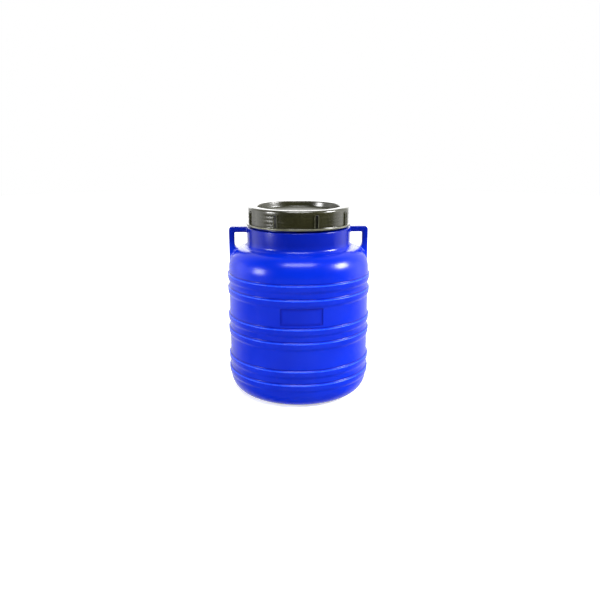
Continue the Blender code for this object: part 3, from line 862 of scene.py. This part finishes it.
def blue_polyethylene():
    """Dyed blown polyethylene: soft gloss, faint upright draw marks, painted ring-crest highlights.

    Painted shade darkens the collar, neck and ears above the shoulder, the sunk panel's borders
    and thin lines in the creases just above the rings.
    """
    finish, tree, shader, place = new_finish("blue_polyethylene")
    cloud = grain(tree, place, scale=5, detail=2)
    drawn = grain(tree, stretched(tree, place, (22, 22, 1.6)), scale=1.0, detail=1)
    pebble = grain(tree, place, scale=650, detail=1)
    radius, height, side = measured(tree, place)
    tone = blend(tree, spread(tree, cloud, *CLOUD), *BLUE)
    # Painted shade above the shoulder
    tone = blend(tree, spread(tree, height, *PAINTED_SHADE_FROM), tone, PAINTED_SHADE_BLUE)
    # Painted shade along the sunk panel's borders
    tone = blend(tree, panel_painted_shade(tree, radius, height, side), tone, PANEL_SHADE_BLUE)

    # Painted highlight along the ring crests' upper edges, broken by streaks; it also adds
    # roughness
    outer = inwards(tree, radius, RING, CREST_HIGHLIGHT_BAND)
    streaks = grain(tree, stretched(tree, place, (45, 45, 160)), scale=1.0, roughness=0.6)
    highlight_breaks = spread(tree, streaks, 0.35, 0.70, 0.6, 1)
    painted_edge_highlight = times(tree, outer, ring_edges(tree, height, -UPPER_FLANK), highlight_breaks)
    tone = blend(tree, painted_edge_highlight, tone, CREST_HIGHLIGHT_BLUE)
    # Painted shade in thin lines in the creases just above the rings, ending above the top ring
    inner = outwards(tree, radius, BODY, CREASE_SHADE_BAND)
    barrel = outwards(tree, height, RING_TOPS[-1], CREASE_SHADE_END, 1, 0)
    crease_shade = times(tree, inner, ring_edges(tree, height, CREASE_SHADE_LIFT), CREASE_SHADE_SHARE, barrel)
    tone = blend(tree, crease_shade, tone, CREASE_SHADE_BLUE)
    tree.links.new(tone, shader.inputs["Base Color"])

    rough = spread(tree, drawn, *GRAIN, 0.225, 0.250)
    rough = reckon(tree, "ADD", rough, times(tree, painted_edge_highlight, CREST_LINE_ROUGH))
    tree.links.new(rough, shader.inputs["Roughness"])
    set_sockets(shader, {"IOR": PLASTIC_IOR, "Specular IOR Level": 0.25})
    surface = reckon(tree, "ADD", times(tree, drawn, 0.92), times(tree, pebble, 0.08))
    relief(tree, shader, surface, depth=0.0003, strength=0.15)
    return finish


def olive_plastic():
    """Injection-moulded dark olive plastic: clear gloss, fine flow marks, painted edge highlights.

    The recess floor is matter, and painted paler than the skirt as painted reflected light.
    """
    finish, tree, shader, place = new_finish("olive_plastic")
    cloud = grain(tree, place, scale=14)
    flow = grain(tree, stretched(tree, place, (14, 14, 200)), scale=1.0, detail=2)
    pebble = grain(tree, place, scale=900, detail=1)
    radius, height, _ = measured(tree, place)
    crest = SKIRT + LUG_PROUD
    tone = blend(tree, spread(tree, cloud, *CLOUD), *OLIVE)
    # The recess floor is painted paler as painted reflected light, and is matter
    floor = times(tree, reckon(tree, "LESS_THAN", radius, RECESS - RECESS_MARGIN),
                  reckon(tree, "LESS_THAN", height, RECESS_FLOOR + RECESS_MARGIN))
    tone = blend(tree, floor, tone, OLIVE_FLOOR_PAINTED_LIGHT)
    # Painted highlight on the lug borders above their feet and on the flange's upper edge
    lugs = times(tree, inwards(tree, radius, crest, LUG_BAND),
                 reckon(tree, "GREATER_THAN", height, CAP_FOOT + LUG_HIGHLIGHT_FOOT))
    # Painted shade in the lugs' dished faces
    tone = blend(tree, near(tree, radius, crest - LUG_DISH, LUG_LINE), tone, OLIVE_DISH_SHADE)
    flange = inwards(tree, radius, FLANGE, FLANGE_BAND)
    highlight_breaks = spread(tree, grain(tree, place, scale=60, roughness=0.6), *CLOUD, 0.6, 1)
    painted_edge_highlight = times(tree, reckon(tree, "MAXIMUM", lugs, flange), highlight_breaks)
    tone = blend(tree, painted_edge_highlight, tone, OLIVE_EDGE_HIGHLIGHT)
    tree.links.new(tone, shader.inputs["Base Color"])

    rough = spread(tree, flow, *GRAIN, 0.22, 0.28)
    rough = reckon(tree, "ADD", rough, times(tree, floor, RECESS_ROUGH))
    tree.links.new(rough, shader.inputs["Roughness"])
    set_sockets(shader, {"IOR": PLASTIC_IOR, "Specular IOR Level": 0.9})
    surface = reckon(tree, "ADD", times(tree, flow, 0.95), times(tree, pebble, 0.05))
    relief(tree, shader, surface, depth=0.0002, strength=0.15)
    return finish


def natural_polyethylene():
    """Undyed milky polyethylene with a waxy sheen."""
    finish, tree, shader, place = new_finish("natural_polyethylene")
    cloud = grain(tree, place, scale=18)
    pebble = grain(tree, place, scale=700, detail=2)
    tone = blend(tree, spread(tree, cloud, *GRAIN), *NATURAL)
    tree.links.new(tone, shader.inputs["Base Color"])
    tree.links.new(spread(tree, cloud, *GRAIN, 0.40, 0.50), shader.inputs["Roughness"])
    set_sockets(shader, {"Subsurface Weight": 0.15, "Subsurface Radius": (0.004, 0.004, 0.003)})
    relief(tree, shader, pebble, depth=0.0002, strength=0.30)
    return finish


def grey_rubber():
    """Soft dark rubber with fine pores in its roughness and surface."""
    finish, tree, shader, place = new_finish("grey_rubber")
    pore = grain(tree, place, scale=1400, detail=4, roughness=0.7)
    cloud = grain(tree, place, scale=30)
    tone = blend(tree, spread(tree, cloud, *GRAIN), *RUBBER)
    tree.links.new(tone, shader.inputs["Base Color"])
    tree.links.new(spread(tree, pore, *GRAIN, 0.65, 0.80), shader.inputs["Roughness"])
    relief(tree, shader, pore, depth=0.0002, strength=0.50)
    return finish


def softbox(name, azimuth, elevation, distance, size, power, aim=0.30):
    """A rectangular lamp that looks at the drum's axis at a height.

    Its azimuth is 0 at the front and grows to the right.
    """
    lamp = bpy.data.objects.new(name, bpy.data.lights.new(name, "AREA"))
    lamp.data.shape = "RECTANGLE"
    lamp.data.size, lamp.data.size_y = size
    lamp.data.energy = power
    turned, raised = math.radians(azimuth), math.radians(elevation)
    way = Vector((math.sin(turned) * math.cos(raised), -math.cos(turned) * math.cos(raised),
                  math.sin(raised)))
    lamp.location = Vector((0, 0, aim)) + way * distance
    lamp.rotation_euler = (-way).to_track_quat("-Z", "Y").to_euler()
    bpy.context.scene.collection.objects.link(lamp)


def light_studio():
    """A box on each side and one above for the highlights, faint strips for the limbs."""
    softbox("left_box", -67, 12, distance=2.2, size=(0.6, 0.6), power=28)
    softbox("right_box", 76, 28, distance=2.2, size=(0.75, 0.6), power=68)
    softbox("top_box", -1, 56, distance=2.2, size=(1.5, 0.55), power=40)
    softbox("left_strip", -100, 2, distance=2.0, size=(1.2, 1.0), power=4, aim=0.35)
    softbox("right_strip", 98, 2, distance=2.0, size=(1.2, 1.0), power=4, aim=0.35)
    softbox("back_box", 180, 17, distance=2.4, size=(3.0, 0.9), power=21)


def hang_backdrop():
    """A room that is white behind the drum and to the camera, and dim elsewhere."""
    world = bpy.data.worlds.new("studio")
    bpy.context.scene.world = world
    world.use_nodes = True
    tree = world.node_tree
    background = tree.nodes["Background"]
    seen = tree.nodes.new("ShaderNodeLightPath")
    place = tree.nodes.new("ShaderNodeTexCoord")
    parts = tree.nodes.new("ShaderNodeSeparateXYZ")
    tree.links.new(place.outputs["Generated"], parts.inputs["Vector"])
    behind = spread(tree, parts.outputs["Y"], 0, BACKDROP_EDGE)
    level = reckon(tree, "ADD", behind, times(tree, seen.outputs["Is Diffuse Ray"], FILL))
    level = reckon(tree, "MAXIMUM", level, seen.outputs["Is Camera Ray"])
    tree.links.new(level, background.inputs["Strength"])
    background.inputs["Color"].default_value = WHITE


def lay_floor():
    """A wide pale floor that shows white to the camera and keeps the drum's shadow."""
    leave_selection()
    bpy.ops.mesh.primitive_circle_add(vertices=FLOOR_SIDES, radius=FLOOR_RADIUS,
                                      fill_type="NGON", location=(0, 0, 0))
    floor = bpy.context.active_object
    floor.name = "floor"
    finish, tree, shader, place = new_finish("pale_floor")
    set_sockets(shader, {"Base Color": FLOOR_TONE, "Roughness": 0.9, "Emission Color": WHITE})
    seen = tree.nodes.new("ShaderNodeLightPath")
    radius, _, _ = measured(tree, place)
    lift = spread(tree, radius, *FLOOR_RISE, *FLOOR_LIFT)
    lift = times(tree, seen.outputs["Is Camera Ray"], lift)
    tree.links.new(lift, shader.inputs["Emission Strength"])
    floor.data.materials.append(finish)
    floor.visible_glossy = False


def place_camera():
    """The photograph's view: almost straight in front, looking a little down."""
    azimuth = math.radians(-2.5)
    away, height, tilt = 1.6472, 0.6659, math.radians(14.738)
    camera = bpy.data.objects.new("camera", bpy.data.cameras.new("camera"))
    camera.location = (away * math.sin(azimuth), -away * math.cos(azimuth), height)
    camera.rotation_euler = (math.pi / 2 - tilt, 0, azimuth)
    camera.data.sensor_width = 36
    camera.data.lens = 38.737
    camera.data.shift_x = 1.5 / PICTURE
    camera.data.shift_y = 0.5 / PICTURE
    bpy.context.scene.collection.objects.link(camera)
    bpy.context.scene.camera = camera


def dress():
    """Put each finished piece on its body, in its solid's place."""
    for piece, body, node, slot in (
            (make_shell(blue_polyethylene()), "drum", "drum_shell", "shell_plastic"),
            (make_cap(olive_plastic()), "cap", "screw_lid", "lid_plastic"),
            (make_inner_lid(natural_polyethylene()), "seal", "inner_lid", "inner_lid_plastic"),
            (make_gasket(grey_rubber()), "seal", "lid_gasket", "gasket_rubber")):
        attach(piece, body)
        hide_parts(node)


place_camera()
dress()
lay_floor()
light_studio()
hang_backdrop()
bpy.context.scene.view_settings.view_transform = "Standard"
